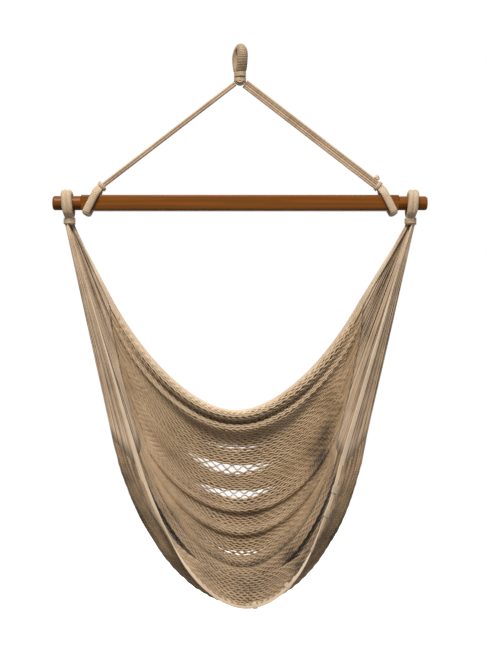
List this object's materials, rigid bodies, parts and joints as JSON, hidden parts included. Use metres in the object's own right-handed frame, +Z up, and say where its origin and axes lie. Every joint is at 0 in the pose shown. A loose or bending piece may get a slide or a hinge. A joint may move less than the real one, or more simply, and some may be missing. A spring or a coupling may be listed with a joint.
{
  "type": "hammock chair",
  "caption": "Hanging net chair: a rope eye on two legs of cord holds a wooden spreader bar, and a cotton net seat hangs from rope eyes on the bar's round ends.",
  "frame": {"origin": "where the hook bears inside the hanging eye, at the top of the eye's hole", "axes": "+Z up, +X along the spreader bar, -Y the side the sitter faces"},
  "size_m": [1, 0.2522, 1.4855],
  "materials": {
    "stained_wood": "satin stained hardwood",
    "whipped_cotton": "tightly whipped cotton cord",
    "cotton_cord": "twisted natural cotton cord",
    "net_cotton": "hand-woven natural cotton net"
  },
  "bodies": {
    "eye": {"hanging_eye": "whipped_cotton", "hanging_eye_whipping_back": "whipped_cotton", "hanging_eye_whipping_front": "whipped_cotton", "throat_seizing": "whipped_cotton"},
    "throat": {"throat_bundle": "cotton_cord"},
    "suspension": {"spreader_bar": "stained_wood", "left_bar_eye": "whipped_cotton", "right_bar_eye": "whipped_cotton", "left_bar_eye_seizing": "whipped_cotton", "right_bar_eye_seizing": "whipped_cotton", "stopper_knot": "cotton_cord", "left_suspension_cord_1": "cotton_cord", "left_suspension_cord_2": "cotton_cord", "left_suspension_cord_3": "cotton_cord", "left_suspension_cord_4": "cotton_cord", "right_suspension_cord_1": "cotton_cord", "right_suspension_cord_2": "cotton_cord", "right_suspension_cord_3": "cotton_cord", "right_suspension_cord_4": "cotton_cord"},
    "seat": {"left_clew_eye": "whipped_cotton", "right_clew_eye": "whipped_cotton", "left_clew_seizing": "whipped_cotton", "right_clew_seizing": "whipped_cotton", "seat_net": "net_cotton", "back_edge_cord": "cotton_cord", "front_edge_cord": "cotton_cord", "left_clew_hank_1": "cotton_cord", "left_clew_hank_2": "cotton_cord", "left_clew_hank_3": "cotton_cord", "left_clew_hank_4": "cotton_cord", "left_clew_hank_5": "cotton_cord", "left_clew_hank_6": "cotton_cord", "left_clew_hank_7": "cotton_cord", "left_clew_hank_8": "cotton_cord", "left_clew_hank_9": "cotton_cord", "left_clew_hank_10": "cotton_cord", "right_clew_hank_1": "cotton_cord", "right_clew_hank_2": "cotton_cord", "right_clew_hank_3": "cotton_cord", "right_clew_hank_4": "cotton_cord", "right_clew_hank_5": "cotton_cord", "right_clew_hank_6": "cotton_cord", "right_clew_hank_7": "cotton_cord", "right_clew_hank_8": "cotton_cord", "right_clew_hank_9": "cotton_cord", "right_clew_hank_10": "cotton_cord"}
  },
  "joints": [
    {"name": "turn", "type": "hinge", "parent": "eye", "child": "throat", "pos_m": [0, 0, -0.07635], "axis": [0, 0, 1], "range_deg": [-90, 90]},
    {"name": "swing", "type": "hinge", "parent": "throat", "child": "suspension", "pos_m": [0, 0, -0.07635], "axis": [1, 0, 0], "range_deg": [-25, 25]},
    {"name": "seat_swing", "type": "hinge", "parent": "suspension", "child": "seat", "pos_m": [0, 0, -0.406], "axis": [1, 0, 0], "range_deg": [-30, 30]}
  ]
}
